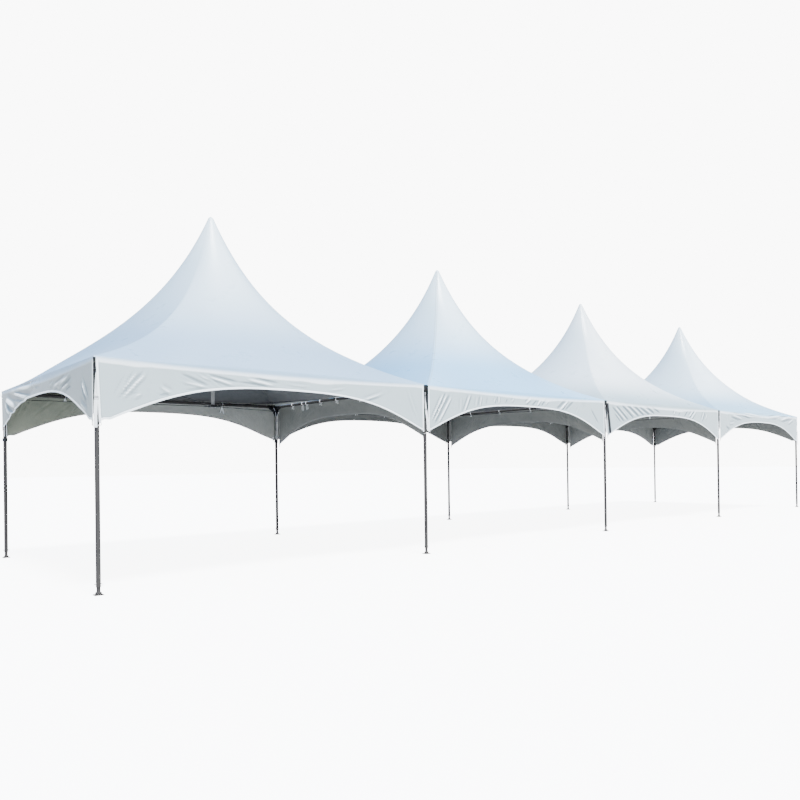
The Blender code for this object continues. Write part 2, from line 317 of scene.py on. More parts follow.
canopyLook = {
    "thickness": 0.0012,
    "hemThickness": 0.0016,  # added to it on the hems
    "sharpAngle": 55,
    "edgeRadius": 0.010,
    "sideSpokes": 304,  # round the roof's edge, per side; a multiple of 16
    "slitSpokes": 4,
    "rows": 24,
    "plainRows": 3,
    "rise": 2.675,
    "hipCurve": 0.51,
    "squaring": 1.5,  # how late a round ring of the roof turns square
    "tipShare": 0.014,
    "tipDome": 0.05,
    "tipRings": [(0.020, 0.80), (0.038, 0.45)],  # how much higher and narrower than the roof's first ring
    "tipDrop": -2.6,
    "outerArch": (0.235, 0.70),  # drop of the edge at mid-side and at the legs
    "crossArch": (0.33, 0.78),
    "outerSlit": 0.022,  # slits at the eave, from the roof's corner to the upright hem
    "outerSpread": 0.028,  # how much wider such a slit is at the valance's lower corner
    "innerSlit": 0.012,
    "crossSlit": 0.10,
    "turnDown": 0.016,  # hem of the roof's edge where no valance hangs
    "farFlap": 0.050,  # how far a far valance's upright hem reaches past its slit, behind an inner leg
    "farLap": 0.0065,  # how far one of two such hems stands off the other
    "flapTop": 0.04,  # drop over which these grow
    "leftEndLift": 0.20,  # how much of its drop the left end's valance lacks at its far leg
    "clothFace": 0.0373,  # outer face of the cloth from a line of legs
    "innerEdge": 0.0333,  # roof edge from a line of legs, between two bays
    "flat": [(7.40, 7.67), (7.44, 7.67), (7.44, 7.67), (7.71, 7.67)],  # hem to hem over each peak
    "foldGain": 1.35,
    "foldShadeHeight": 0.008,  # the fold's height that counts as 1 in the painted highlight and shade of the folds
    # the same for the painted fold highlight and shade on the row's left end
    "leftEndShadeHeight": 0.016,
    "sag": (0.036, 0.046),  # drop where the roof's painted sky-lit colour ends on the valance at the legs, and how much more at mid-side
    "blunt": (0.030, 0.675),  # how much deeper an arch is beside an outer corner, and its flat end's depth
    "bluntFrom": 0.62,
    "bluntRun": 0.28,
}
eave = 2.5523
outerReach = halfBay + canopyLook["clothFace"]  # from the mast to the cloth's edge
innerReach = halfBay - canopyLook["innerEdge"]


def limited(value):
    return np.clip(value, 0, 1)


def roofHeight(share):
    look = canopyLook
    return eave + look["rise"] * look["hipCurve"] * (1 - share) / (look["hipCurve"] + share)


def archDrop(arch, u):
    rise = u * u * (0.29 + 1.42 * u**2 - 0.71 * u**4)
    return arch[0] + (arch[1] - arch[0]) * rise


# Folds as lines on a side: start and end (metres along the side, metres below the eave), half width
# and height, which is negative for a hollow. Each side of a bay has its own list.
def fanOfFolds(seed, length, count=6, reach=1.2, height=0.004):
    pick = np.random.default_rng(seed)
    folds = []
    for end in (0, 1):
        for k in range(count):
            along = 0.15 + (k + pick.uniform(0.1, 0.9)) * reach / count
            lean = pick.uniform(0.12, 0.34) * (1 + along * 0.4)
            top = pick.uniform(0.05, 0.12)
            bottom = top + pick.uniform(0.55, 0.9) * (0.50 - 0.10 * along)
            first, second = along + lean * 0.5, along - lean * 0.5
            if end:
                first, second = length - first, length - second
            width = pick.uniform(0.011, 0.020)
            folds.append((first, top, second, bottom, width, height * pick.uniform(0.5, 1.1)))
    return folds


firstNearFolds = [
    (0.365, 0.15, 0.2, 0.44, 0.014, 0.006), (0.455, 0.12, 0.23, 0.43, 0.015, 0.008),
    (0.505, 0.14, 0.238, 0.45, 0.014, -0.006), (0.555, 0.125, 0.25, 0.46, 0.017, 0.009),
    (0.49, 0.37, 0.39, 0.43, 0.015, 0.007), (0.685, 0.285, 0.82, 0.355, 0.02, 0.006),
    (0.67, 0.385, 0.79, 0.366, 0.013, -0.006), (0.925, 0.12, 1.245, 0.24, 0.015, -0.007),
    (0.925, 0.21, 1.23, 0.258, 0.016, 0.006), (1.13, 0.12, 1.385, 0.23, 0.014, 0.007),
    (1.195, 0.16, 1.42, 0.238, 0.012, -0.005), (1.23, 0.13, 1.58, 0.216, 0.015, 0.008),
    (1.265, 0.11, 1.62, 0.172, 0.013, -0.007), (1.62, 0.17, 1.96, 0.192, 0.013, -0.006),
    (1.715, 0.12, 2.115, 0.19, 0.017, 0.008), (1.865, 0.11, 2.175, 0.15, 0.013, -0.005),
    (2.275, 0.155, 2.61, 0.168, 0.014, 0.004), (2.895, 0.195, 3.165, 0.152, 0.014, 0.005),
    (0.96, 0.305, 1.19, 0.277, 0.012, -0.004), (3.41, 0.31, 3.84, 0.165, 0.016, 0.007),
    (3.51, 0.308, 3.755, 0.242, 0.012, -0.004), (4.25, 0.1, 4.42, 0.5, 0.018, 0.004),
]
# Folds of the other near sides as lines picked on enlarged crops of the photo.
cropLook = {
    "enlarged": 8,
    "corners": {2: (420, 385), 3: (600, 395), 4: (600, 395)},
    "focal": 710.6575,
    "centre": (467.6092, 460.0206),
    # the near sides as they stood when the folds were picked
    "bay": 4.572,
    "side": -2.3233,
    "start": 0.0333,
    "eave": 2.5523,
    # the folds were raised after a first render
    "ridgeGain": 1.45,
    "hollowGain": 1.25,
}
# Start and end in the crop's pixels, half width and rise in metres.
pickedFolds = {
    2: [
        (190, 60, 90, 290, 0.014, 0.008), (203, 62, 100, 285, 0.014, -0.007),
        (215, 70, 105, 300, 0.014, 0.009), (236, 75, 125, 295, 0.014, -0.007),
        (255, 85, 140, 310, 0.015, 0.01), (330, 80, 320, 230, 0.015, 0.004),
        (400, 75, 345, 230, 0.015, 0.008), (418, 80, 370, 200, 0.015, -0.004),
        (460, 80, 440, 190, 0.016, 0.004), (490, 80, 475, 180, 0.014, 0.006),
        (540, 90, 525, 160, 0.014, -0.003), (610, 90, 590, 140, 0.014, 0.006),
        (605, 95, 598, 150, 0.014, -0.006), (630, 90, 625, 150, 0.014, 0.008),
        (700, 110, 680, 150, 0.014, -0.004), (750, 105, 730, 140, 0.014, 0.005),
        (885, 110, 840, 150, 0.016, 0.008), (930, 125, 895, 165, 0.015, -0.008),
        (965, 120, 930, 172, 0.015, 0.008), (1005, 120, 972, 165, 0.015, -0.009),
        (1030, 125, 1000, 160, 0.014, 0.005), (1155, 128, 1092, 190, 0.018, -0.009),
        (1185, 125, 1110, 210, 0.017, 0.011), (1225, 135, 1160, 200, 0.018, -0.008),
        (1265, 180, 1245, 235, 0.016, 0.004), (1365, 190, 1430, 310, 0.02, -0.004),
    ],
    3: [
        (100, 95, 190, 210, 0.02, -0.01), (118, 92, 205, 205, 0.016, 0.004),
        (135, 90, 225, 200, 0.02, -0.011), (180, 85, 268, 188, 0.02, -0.01),
        (200, 85, 284, 176, 0.016, 0.005), (225, 85, 305, 170, 0.02, -0.01),
        (250, 88, 326, 168, 0.016, 0.005), (275, 90, 352, 165, 0.02, -0.009),
        (320, 100, 392, 160, 0.02, -0.009), (345, 96, 408, 155, 0.016, 0.004),
        (370, 95, 432, 150, 0.02, -0.008), (410, 95, 480, 145, 0.018, -0.005),
        (115, 140, 165, 215, 0.018, -0.006), (600, 125, 585, 160, 0.016, 0.007),
        (640, 140, 625, 165, 0.016, -0.004), (700, 130, 672, 175, 0.018, -0.005),
        (740, 130, 705, 180, 0.018, 0.006), (752, 130, 713, 188, 0.016, -0.008),
        (768, 128, 724, 192, 0.018, 0.009), (830, 135, 808, 212, 0.017, 0.008),
        (842, 140, 820, 212, 0.016, -0.006), (853, 150, 842, 200, 0.016, 0.008),
    ],
    4: [
        (1070, 143, 1190, 180, 0.02, -0.01), (1060, 160, 1135, 192, 0.02, 0.008),
        (1090, 150, 1215, 178, 0.018, 0.008), (1110, 135, 1290, 172, 0.022, 0.006),
        (1050, 175, 1110, 205, 0.02, -0.007), (1520, 152, 1330, 185, 0.02, 0.009),
        (1530, 162, 1385, 195, 0.02, -0.009), (1542, 168, 1440, 205, 0.02, 0.009),
        (1550, 182, 1462, 218, 0.02, -0.009), (1545, 196, 1500, 232, 0.022, 0.008),
        (1010, 250, 1040, 280, 0.022, -0.006), (1035, 230, 1075, 222, 0.02, 0.005),
    ],
}
# The row's left end: swags below its far corner, upright folds beside the near one.
leftEndFolds = [
    (2.85, 0.18, 3.05, 0.145, 0.02, 0.008), (3.045, 0.2, 3.6, 0.113, 0.026, 0.014),
    (3.09, 0.168, 3.57, 0.098, 0.02, -0.01), (3.24, 0.223, 3.74, 0.137, 0.024, 0.014),
    (3.42, 0.224, 3.81, 0.143, 0.022, -0.013), (3.38, 0.255, 3.74, 0.228, 0.022, 0.01),
    (3.6, 0.262, 3.8, 0.243, 0.018, -0.009), (4.205, 0.23, 4.376, 0.48, 0.016, -0.011),
    (4.245, 0.22, 4.435, 0.457, 0.016, 0.013), (4.16, 0.46, 4.43, 0.59, 0.026, 0.01),
    (0.58, 0.045, 2.35, 0.099, 0.026, 0.016), (1.27, 0.115, 1.9, 0.175, 0.024, -0.018),
    (0.85, 0.1, 1.76, 0.226, 0.03, 0.018), (0.69, 0.13, 1.42, 0.224, 0.026, -0.016),
    (0.375, 0.146, 1.00, 0.3, 0.04, 0.028), (0.48, 0.252, 0.87, 0.35, 0.03, -0.024),
    (0.29, 0.19, 0.62, 0.397, 0.034, 0.018), (1.82, 0.078, 2.4, 0.123, 0.02, -0.008),
]


# Metres along a near side and below its eave, for a position in the bay's crop.
def seenOnSide(bay, x, y):
    look = cropLook
    left, top = look["corners"][bay]
    centreX, centreY = look["centre"]
    across = (left + x / look["enlarged"] - centreX) / look["focal"]
    above = (centreY - top - y / look["enlarged"]) / look["focal"]
    sight = cameraTurn() @ Vector((across, above, -1))
    camera = Vector(cameraLook["location"])
    place = camera + sight * ((look["side"] - camera.y) / sight.y)
    return round(place.x - look["bay"] * (bay - 3) - look["start"], 2), round(look["eave"] - place.z, 3)


def pickedFold(bay, startX, startY, endX, endY, width, rise):
    gain = cropLook["ridgeGain" if rise > 0 else "hollowGain"]
    return (*seenOnSide(bay, startX, startY), *seenOnSide(bay, endX, endY), width, round(rise * gain, 4))


def foldsOf(bay, side):
    if side == 0:
        return firstNearFolds if bay == 1 else [pickedFold(bay, *fold) for fold in pickedFolds[bay]]
    if side == 3 and bay == 1:
        return leftEndFolds
    return fanOfFolds(100 * bay + side, 2 * outerReach)


# Height of the folds over the flat valance at each place on it.
def foldRelief(folds, along, down):
    height = np.zeros_like(along)
    for startAlong, startDown, endAlong, endDown, width, rise in folds:
        run = np.array([endAlong - startAlong, endDown - startDown])
        length = np.hypot(*run)
        run = run / length
        t = ((along - startAlong) * run[0] + (down - startDown) * run[1]) / length
        across = (along - startAlong) * run[1] - (down - startDown) * run[0]
        taper = limited(np.minimum(t + 0.12, 1.12 - t) / 0.45)
        taper = taper * taper * (3 - 2 * taper)
        beside = np.exp(-(((np.abs(across) - 1.9 * width) / width) ** 2))
        height += rise * taper * (np.exp(-((across / width) ** 2)) - 0.45 * beside)
    return height


def smoothNoise(seed, along, down, cell, waves=7):
    pick = np.random.default_rng(seed)
    total = np.zeros_like(along)
    for k in range(waves):
        angle = pick.uniform(0, math.pi)
        phase = pick.uniform(0, 2 * math.pi)
        wave = 2 * math.pi / (cell * pick.uniform(0.7, 1.6))
        total += np.sin((along * math.cos(angle) + down * math.sin(angle)) * wave + phase)
    return total / waves


# Points and faces about a mast. Each point also has where it lies on the cloth.
class Skin:
    def __init__(self):
        self.points, self.faces = [], []
        self.stored = {"drop": [], "hem": [], "hip": [], "fold": [], "plain": []}
        self.count = 0

    # A row of points; returns their numbers.
    def row(self, points, drop, hem, hip, fold=0.0, plain=0.0):
        self.points.append(points)
        for column, given in zip(self.stored.values(), (drop, hem, hip, fold, plain)):
            column.append(np.broadcast_to(np.asarray(given, float), len(points)))
        numbers = np.arange(self.count, self.count + len(points))
        self.count += len(points)
        return numbers

    def strip(self, upper, lower, closed):
        n = len(upper)
        k = np.arange(n if closed else n - 1)
        a, b = upper[k], lower[k]
        c, d = lower[(k + 1) % n], upper[(k + 1) % n]
        self.faces += [np.stack([a, b, c], 1), np.stack([a, c, d], 1)]

    # From a ring with half as many points out to one with all of them.
    def fan(self, inner, outer):
        n = len(inner)
        k = np.arange(n)
        a, b = inner, inner[(k + 1) % n]
        p, q, r = outer[2 * k], outer[2 * k + 1], outer[(2 * k + 2) % (2 * n)]
        self.faces += [np.stack(f, 1) for f in ((a, p, q), (a, q, b), (b, q, r))]


# Distance from each place to the nearest line from the peak to a corner.
def cornerDistances(points, corners):
    far = 9.0
    best = np.full(len(points), far)
    for corner in corners:
        line = corner / np.linalg.norm(corner)
        across = np.abs(points[:, 0] * line[1] - points[:, 1] * line[0])
        best = np.minimum(best, np.where(points[:, :2] @ line > 0, across, far))
    return best


# What hangs on each side of a bay's roof: the slits at its start and end, and its arch if it has one.
def sidesOfBay(bay):
    look = canopyLook
    first, last = bay == 1, bay == tent["bays"]
    outer, inner, arch = look["outerSlit"], look["innerSlit"], look["outerArch"]
    low, high = outer if first else inner, outer if last else inner
    left = (outer, outer, arch) if first else (look["crossSlit"], look["crossSlit"], look["crossArch"])
    return [(low, high, arch), (outer, outer, arch if last else None), (high, low, arch), left]


# Drop at which the roof's painted sky-lit colour ends.
def sagOf(along, length):
    atLegs, more = canopyLook["sag"]
    return atLegs + more * (1 - (2 * along / length - 1) ** 2)


def roofRelief(bay, points, share, hip):
    hold = np.sin(math.pi * min(max((share - 0.02) / 0.98, 0), 1)) ** 0.5
    wave = smoothNoise(bay * 7 + 1, points[:, 0], points[:, 1], 1.4) * 0.006
    # the hip is a welded seam under tension, a little proud of the faces
    ridge = 0.003 * np.exp(-((hip / 0.12) ** 2)) * hold
    return wave * hold + ridge


def valanceRelief(bay, side, along, down, total, length, upright):
    look = canopyLook
    v = down / total
    loose = limited(upright / 0.25)
    settle = limited((down - 0.012) / 0.05)
    fold = foldRelief(foldsOf(bay, side), along, down)
    sway = smoothNoise(bay * 11 + side, along, down * 0.6, 1.1) * 0.006 * v * loose
    belly = 0.010 * np.sin(math.pi * limited(along / length)) * v
    pull = -0.003 * (1 - loose) * v
    push = (look["foldGain"] * fold + sway + belly + pull) * settle
    # the fold's height, scaled for its painted highlight and shade
    shadeScale = look["leftEndShadeHeight"] if side == 3 and bay == 1 else look["foldShadeHeight"]
    return np.maximum(push, -0.004), fold / shadeScale


# The drop of a side's lower edge at each share of its width.
def edgeDrops(arch, reach, outerStart, outerEnd):
    look = canopyLook
    if not arch:
        return np.full(len(reach), look["turnDown"])
    total = archDrop(arch, limited(np.abs(2 * reach - 1)))
    for outer, near in ((outerStart, 1 - reach), (outerEnd, reach)):
        if outer:
            beside = limited((near - look["bluntFrom"]) / look["bluntRun"])
            deeper = np.minimum(total + look["blunt"][0] * beside, np.maximum(total, look["blunt"][1]))
            total = np.where(near > look["bluntFrom"], deeper, total)
    return total


# One bay's top: the roof from its tip outwards, the edge over the rails, and the valances.
class Top(Skin):
    inwards = np.array([(0, 1), (-1, 0), (0, -1), (1, 0)], float)

    def __init__(self, bay):
        super().__init__()
        first, last = bay == 1, bay == tent["bays"]
        low, high = -(outerReach if first else innerReach), outerReach if last else innerReach
        self.bay = bay
        near, far = -outerReach, outerReach
        self.corners = np.array([(low, near), (high, near), (high, far), (low, far)])
        self.outer = [first, last, last, first]  # the corners at the row's ends
        self.hanging = sidesOfBay(bay)
        self.layEdge()
        ring = self.turnOver(self.coverRoof())
        for side in range(4):
            self.hangValance(side, ring)

    # Places round the roof's edge, closer in the slits, and the way inwards from each.
    def layEdge(self):
        spokes, inSlit = canopyLook["sideSpokes"], canopyLook["slitSpokes"]
        edge, steps, sag = [], [], []
        for side in range(4):
            start, end = self.corners[side], self.corners[(side + 1) % 4]
            length = np.linalg.norm(end - start)
            slit, endSlit, _ = self.hanging[side]
            before = np.linspace(0, slit, inSlit + 1)[:-1]
            hung = np.linspace(slit, length - endSlit, spokes - 2 * inSlit + 1)
            after = np.linspace(length - endSlit, length, inSlit + 1)[1:-1]
            stations = np.concatenate([before, hung, after])
            edge.append(start + stations[:, None] * ((end - start) / length))
            inward = np.repeat(self.inwards[side][None], spokes, 0)
            inward[0] += self.inwards[side - 1]
            steps.append(inward)
            sag.append(sagOf(stations, length))
        self.edge, self.steps, self.sag = (np.concatenate(parts) for parts in (edge, steps, sag))

    # Its rings have 1/16 of the spokes near the peak and all at the eave.
    def coverRoof(self):
        look = canopyLook
        tip, last = look["tipShare"], 1 - look["edgeRadius"] / outerReach
        bands = [(16, tip, 0.13, 11), (8, 0.13, 0.34, 10), (4, 0.34, 0.66, 11), (2, 0.66, last - 0.006, 11)]
        reachOf = np.linalg.norm(self.edge, axis=1)
        diagonal = halfBay * math.sqrt(2)
        apex = self.row(np.array([[0, 0, roofHeight(tip) + look["tipDome"]]]), look["tipDrop"], 1.0, 1.0)
        previous = None
        for skip, low, high, rings in (*bands, (1, last, last, 0)):
            shares = np.linspace(low, high, rings + 1)
            if rings and previous is not None:
                shares = shares[1:]
            for share in shares:
                squareness = share ** look["squaring"]
                reach = share * ((1 - squareness) * diagonal + squareness * reachOf[::skip])
                flat = self.edge[::skip] / reachOf[::skip][:, None] * reach[:, None]
                points = np.column_stack([flat, np.full(len(flat), roofHeight(share))])
                hip = cornerDistances(points, self.corners)
                points[:, 2] += roofRelief(self.bay, points, share, hip)
                ring = self.row(points, -(1 - share) * 2.3 - self.sag[::skip] * share**4, 1.0, hip)
                if previous is None:
                    self.domeTip(apex, ring, points)
                elif len(ring) == 2 * len(previous):
                    self.fan(previous, ring)
                else:
                    self.strip(previous, ring, True)
                previous = ring
        return previous

    def domeTip(self, apex, ring, points):
        for lift, narrow in canopyLook["tipRings"]:
            inner = self.row(points * [narrow, narrow, 1] + [0, 0, lift], canopyLook["tipDrop"], 1.0, 1.0)
            self.strip(inner, ring, True)
            ring = inner
        self.faces.append(np.stack([np.full(len(ring), apex), ring, np.roll(ring, -1)], 1))

    # The edge turns down over the rails.
    def turnOver(self, previous):
        look = canopyLook
        radius = look["edgeRadius"]
        slope = look["rise"] * look["hipCurve"] / (1 + look["hipCurve"]) / outerReach
        hip = cornerDistances(self.edge, self.corners)
        for angle in np.radians([22, 45, 68, 90]):
            inset, fallen = radius * (1 - math.sin(angle)), radius * (1 - math.cos(angle))
            flat = self.edge + self.steps * inset
            points = np.column_stack([flat, np.full(len(flat), eave + slope * inset - fallen)])
            ring = self.row(points, fallen - inset * 0.5 - self.sag, 1.0, hip)
            self.strip(previous, ring, True)
            previous = ring
        return previous

    # A valance hangs from the edge between the slits of its side.
    def hangValance(self, side, ring):
        look = canopyLook
        radius, spokes, inSlit = look["edgeRadius"], look["sideSpokes"], look["slitSpokes"]
        slit, endSlit, arch = self.hanging[side]
        start, end = self.corners[side], self.corners[(side + 1) % 4]
        outerStart, outerEnd = self.outer[side], self.outer[(side + 1) % 4]
        cross = arch == look["crossArch"]
        length = np.linalg.norm(end - start)
        place = np.arange(side * spokes + inSlit, (side + 1) * spokes - inSlit + 1)
        above = ring[place % len(ring)]
        along = np.linspace(slit, length - endSlit, len(place))
        reach = (along - slit) / (length - slit - endSlit)
        atStart, atEnd = limited(1 - reach / 0.06), limited(1 - (1 - reach) / 0.06)
        total = edgeDrops(arch, reach, outerStart, outerEnd)
        if side == 3 and self.bay == 1:
            total = total * (1 - look["leftEndLift"] * limited(1 - 2 * reach) ** 2)
        outward = self.inwards[side] if cross else -self.inwards[side]
        upright = np.minimum(along - slit, length - endSlit - along)
        rows = look["rows"] if arch else look["plainRows"]
        for j in range(1, rows + 1):
            down = radius + (total - radius) * (j / rows)
            push, fold = valanceRelief(self.bay, side, along, down, total, length, upright)
            if not arch:
                push, fold = push * 0, fold * 0
            spread = look["outerSpread"] * down / look["outerArch"][1]
            grown = limited((down - radius) / look["flapTop"]) * (side == 2)
            if not outerStart:
                push = push + look["farLap"] * atStart * grown
            flap = -look["farFlap"] * grown
            atStarts, atEnds = (spread if outer else flap for outer in (outerStart, outerEnd))
            shown = along + atStart * atStarts - atEnd * atEnds
            base = start + shown[:, None] * (end - start) / length
            points = np.column_stack([base + outward * push[:, None], eave - down])
            toHem = np.minimum((total - down) * np.cos(np.arctan(np.gradient(total, along))), upright)
            below = self.row(points, down - sagOf(along, length), toHem, 1.0, fold, float(cross))
            self.strip(above, below, False)
            above = below


# A closed mesh from a top and its inner face.
def clothObject(top, x):
    look = canopyLook
    points, faces = np.concatenate(top.points), np.concatenate(top.faces)
    stored = {name: np.concatenate(column) for name, column in top.stored.items()}
    a, b, c = points[faces[:, 0]], points[faces[:, 1]], points[faces[:, 2]]
    facing = np.cross(b - a, c - a)
    normals = np.zeros_like(points)
    for k in range(3):
        np.add.at(normals, faces[:, k], facing)
    normals /= np.linalg.norm(normals, axis=1)[:, None]
    onHem = limited((clothLook["hemWidth"] + 0.002 - stored["hem"]) / 0.004)
    inner = points - normals * (look["thickness"] + look["hemThickness"] * onHem)[:, None]
    n = len(points)
    pairs = np.concatenate([faces[:, [0, 1]], faces[:, [1, 2]], faces[:, [2, 0]]])
    _, index, uses = np.unique(np.sort(pairs, 1) @ [n, 1], return_index=True, return_counts=True)
    start, end = pairs[index[uses == 1]].T
    rim = [np.stack([end, start, start + n], 1), np.stack([end, start + n, end + n], 1)]
    every = np.concatenate([faces, faces[:, ::-1] + n, *rim])
    name = f"canopy_cloth_{top.bay}"
    both = np.concatenate([points, inner]).tolist()
    cloth = meshObject(name, both, every.tolist(), look["sharpAngle"], Cloth(top.bay).paint())
    cloth.location = (x, 0, 0)
    # a cross valance is the lining's colour on both faces, painted shade on its outer face
    numbers = {"lining": np.concatenate([stored.pop("plain"), np.ones(n)])}
    numbers.update({label: np.tile(column, 2) for label, column in stored.items()})
    for label, column in numbers.items():
        attribute = cloth.data.attributes.new(label, "FLOAT", "POINT")
        attribute.data.foreach_set("value", column.astype(np.float32))
    area = round(float(np.linalg.norm(facing, axis=1).sum() / 2), 2)
    print(name, len(every), "triangles", area, "square metres")
    return cloth, area


def buildCanopies():
    for i, x in enumerate(bayCentres):
        cloth, area = clothObject(Top(i + 1), x)
        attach(cloth, "root")
        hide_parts(f"canopy_{i + 1}")


buildCanopies()


# Metal finishes on the frame

tubeLook = {
    "leg": (0.052, 0.049, 0.047),
    "mast": (0.30, 0.30, 0.30),
    "splash": (0.075, 0.068, 0.06),
    # dark zinc, darkened further as painted shade of the fittings under the tops
    "zincAndShade": (0.026, 0.027, 0.028),
    "darkZinc": (0.015, 0.015, 0.015),
}


def tubeMaterial(name, colour):
    make = Finish(name)
    brushed = make.noise(40.0, 4.0, 0.6, make.stretched((1.0, 1.0, 0.03)))
    blotches = make.noise(6.0, 4.0, 0.6)
    height = make.part(make.place(), "Z")
    splash = make.step(height, 0.0, 0.35, 1.0, 0.0) * make.step(blotches, 0.3, 0.65) * 0.4
    base = make.coats(
        colour,
        (make.step(brushed, 0.35, 0.7), tone(colour, 0.8)),
        (make.step(blotches, 0.5, 0.75) * 0.5, tone(colour, 0.65)),
        (splash, tubeLook["splash"]),
    )
    rough = make.step(blotches, 0.3, 0.7, 0.55, 0.72) + splash * 0.2
    return make.shade(base, rough, make.bump(brushed, 0.0004, 0.4), Specular_IOR_Level=0.05)


def fittingMaterial():
    make = Finish("dullZincInShade")
    spangle = make.node("TexVoronoi", {"feature": "F1"}, {"Vector": make.place(), "Scale": 90.0}, "Color")
    blotches = make.noise(14.0, 4.0, 0.6)
    # painted shade: the zinc near black
    base = make.mix(0.25, tubeLook["zincAndShade"], spangle, "OVERLAY")
    base = make.mix(make.step(blotches, 0.5, 0.7) * 0.5, base, tubeLook["darkZinc"])
    rough = make.step(blotches, 0.3, 0.7, 0.45, 0.62)
    return make.shade(base, rough, make.bump(blotches, 0.0006, 0.4), Metallic=1.0)


def finishFrame():
    tube = tubeMaterial("agedAluminium", tubeLook["leg"])
    bright = tubeMaterial("brightAluminium", tubeLook["mast"])
    zincAndShade = fittingMaterial()
    for name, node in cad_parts.items():
        if name.startswith("canopy"):
            continue
        wanted = zincAndShade if "fitting" in name or "cables" in name else bright if "mast" in name else tube
        for place in node.material_slots:
            place.material = wanted
    print("frame finished")


finishFrame()


# Webbing, rings, pins and cable ends

# Points and faces of a piece, made of outlines carried along paths.
class Shape:
    def __init__(self):
        self.points, self.faces = [], []

    # The outline lies across the path, with its second number along the given upright.
    def sweep(self, path, outline, upright, closed=False):
        path = [Vector(p) for p in path]
        ups = [Vector(u) for u in upright] if isinstance(upright, list) else [Vector(upright)] * len(path)
        n, m, first = len(path), len(outline), len(self.points)
        for i, p in enumerate(path):
            before = path[i - 1] if i or closed else p
            after = path[(i + 1) % n] if i < n - 1 or closed else p
            tangent = (after - before).normalized()
            side = tangent.cross(ups[i]).normalized()
            lift = side.cross(tangent)
            self.points += [p + side * a + lift * b for a, b in outline]
        for i in range(n if closed else n - 1):
            here, there = first + i * m, first + (i + 1) % n * m
            for k in range(m):
                following = (k + 1) % m
                self.faces.append((here + k, here + following, there + following, there + k))
        if not closed:
            self.close(first, m, True)
            self.close(first + (n - 1) * m, m)

    def close(self, first, count, backwards=False):
        self.faces.append(tuple(first + k for k in (reversed(range(count)) if backwards else range(count))))

    def ring(self, centre, axis, radius, wire, count=20):
        axis = Vector(axis).normalized()
        across = axis.orthogonal().normalized()
        upright = axis.cross(across)
        path = [Vector(centre) + across * a + upright * b for a, b in circle(radius, count)]
        self.sweep(path, circle(wire, 8), axis, True)

    def rod(self, start, end, radius, count=12):
        start, end = Vector(start), Vector(end)
        self.sweep([start, end], circle(radius, count), (end - start).orthogonal())

    # A bolt seen from outside: washer, six-sided head and the stub of its thread.
    def bolt(self, place, out, size):
        place, out = Vector(place), Vector(out).normalized()
        self.rod(place - out * 0.001, place + out * 0.0015, size * 1.15, 16)
        self.rod(place + out * 0.0014, place + out * size * 0.75, size * 0.85, 6)
        self.rod(place + out * size * 0.7, place + out * size * 0.95, size * 0.45, 10)

    # A three-cornered plate between two sleeves of a fitting, with a hollow outer edge.
    def web(self, centre, arm, down, look, steps=8):
        half = arm.cross(down).normalized() * look["webThickness"] / 2
        reach, inset = look["webReach"], look["webInset"]
        hollow = (reach - inset) * look["webHollow"]
        outline = [(inset, inset), (reach, inset)]
        for k in range(1, steps):
            angle = math.pi / 2 * k / steps
            outline.append((reach - hollow * math.sin(angle), reach - hollow * math.cos(angle)))
        outline.append((inset, reach))
        first, n = len(self.points), len(outline)
        for turn in (-1, 1):
            self.points += [centre + arm * a + down * b + half * turn for a, b in outline]
        self.close(first, n, True)
        self.close(first + n, n)
        for k in range(n):
            following = (k + 1) % n
            self.faces.append((first + k, first + following, first + n + following, first + n + k))

    def make(self, name, material, slot):
        points = [tuple(p) for p in self.points]
        thing = meshObject(name, points, self.faces, 38, material)
        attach(thing, "root")


def circle(radius, count):
    angles = [2 * math.pi * k / count for k in range(count)]
    return [(radius * math.cos(a), radius * math.sin(a)) for a in angles]


# Section of a strap, a little thicker in the middle.
def band(width, thickness):
    upper = [(share * width / 2, rise * thickness / 2) for share, rise in ((1, 1), (0.6, 1.25), (0, 1.3))]
    upper += [(-a, b) for a, b in reversed(upper[:2])]
    return [(-a, -b) for a, b in upper] + upper


# A smooth path through a few points.
def eased(points, count):
    points = [np.array(p, float) for p in points]
    padded = [2 * points[0] - points[1], *points, 2 * points[-1] - points[-2]]
    path = []
    for i in range(len(points) - 1):
        a, b, c, d = padded[i:i + 4]
        for k in range(count):
            u = k / count
            bend = (2 * a - 5 * b + 4 * c - d) * u**2 + (3 * b - a - 3 * c + d) * u**3
            path.append(tuple(0.5 * (2 * b + (c - a) * u + bend)))
    path.append(tuple(points[-1]))
    return path


webbingLook = {
    "white": (0.95, 0.96, 0.96),
    "thread": (0.72, 0.73, 0.73),
    "soil": (0.5, 0.49, 0.46),
    "dark": (0.018, 0.018, 0.020),
    "darkSoil": (0.05, 0.05, 0.048),
    "wire": (0.05, 0.05, 0.052),
    "wornWire": (0.13, 0.13, 0.13),
}


def webbingMaterial():
    look = webbingLook
    make = Finish("webbing")
    threads = make.wave("Z", 130.0, Distortion=1.5, Detail=1.0)
    cords = make.wave("X", 110.0)
    soil = make.noise(30.0, 4.0, 0.65)
    soiled = make.step(soil, 0.55, 0.8) * 0.3
    colour = make.coats(look["white"], (threads * 0.15, look["thread"]), (soiled, look["soil"]))
    relief = make.bump(threads + cords, 0.0008, 0.6)
    return make.shade(colour, 0.75 + soil * 0.15, relief, Specular_IOR_Level=0.3)


def darkWebbingMaterial():
    make = Finish("darkWebbingAndShade")
    soil = make.noise(30.0, 4.0, 0.65)
    colour = make.mix(make.step(soil, 0.4, 0.8), webbingLook["dark"], webbingLook["darkSoil"])
    return make.shade(colour, 0.8 + soil * 0.1, make.bump(soil, 0.0006, 0.5), Specular_IOR_Level=0.2)


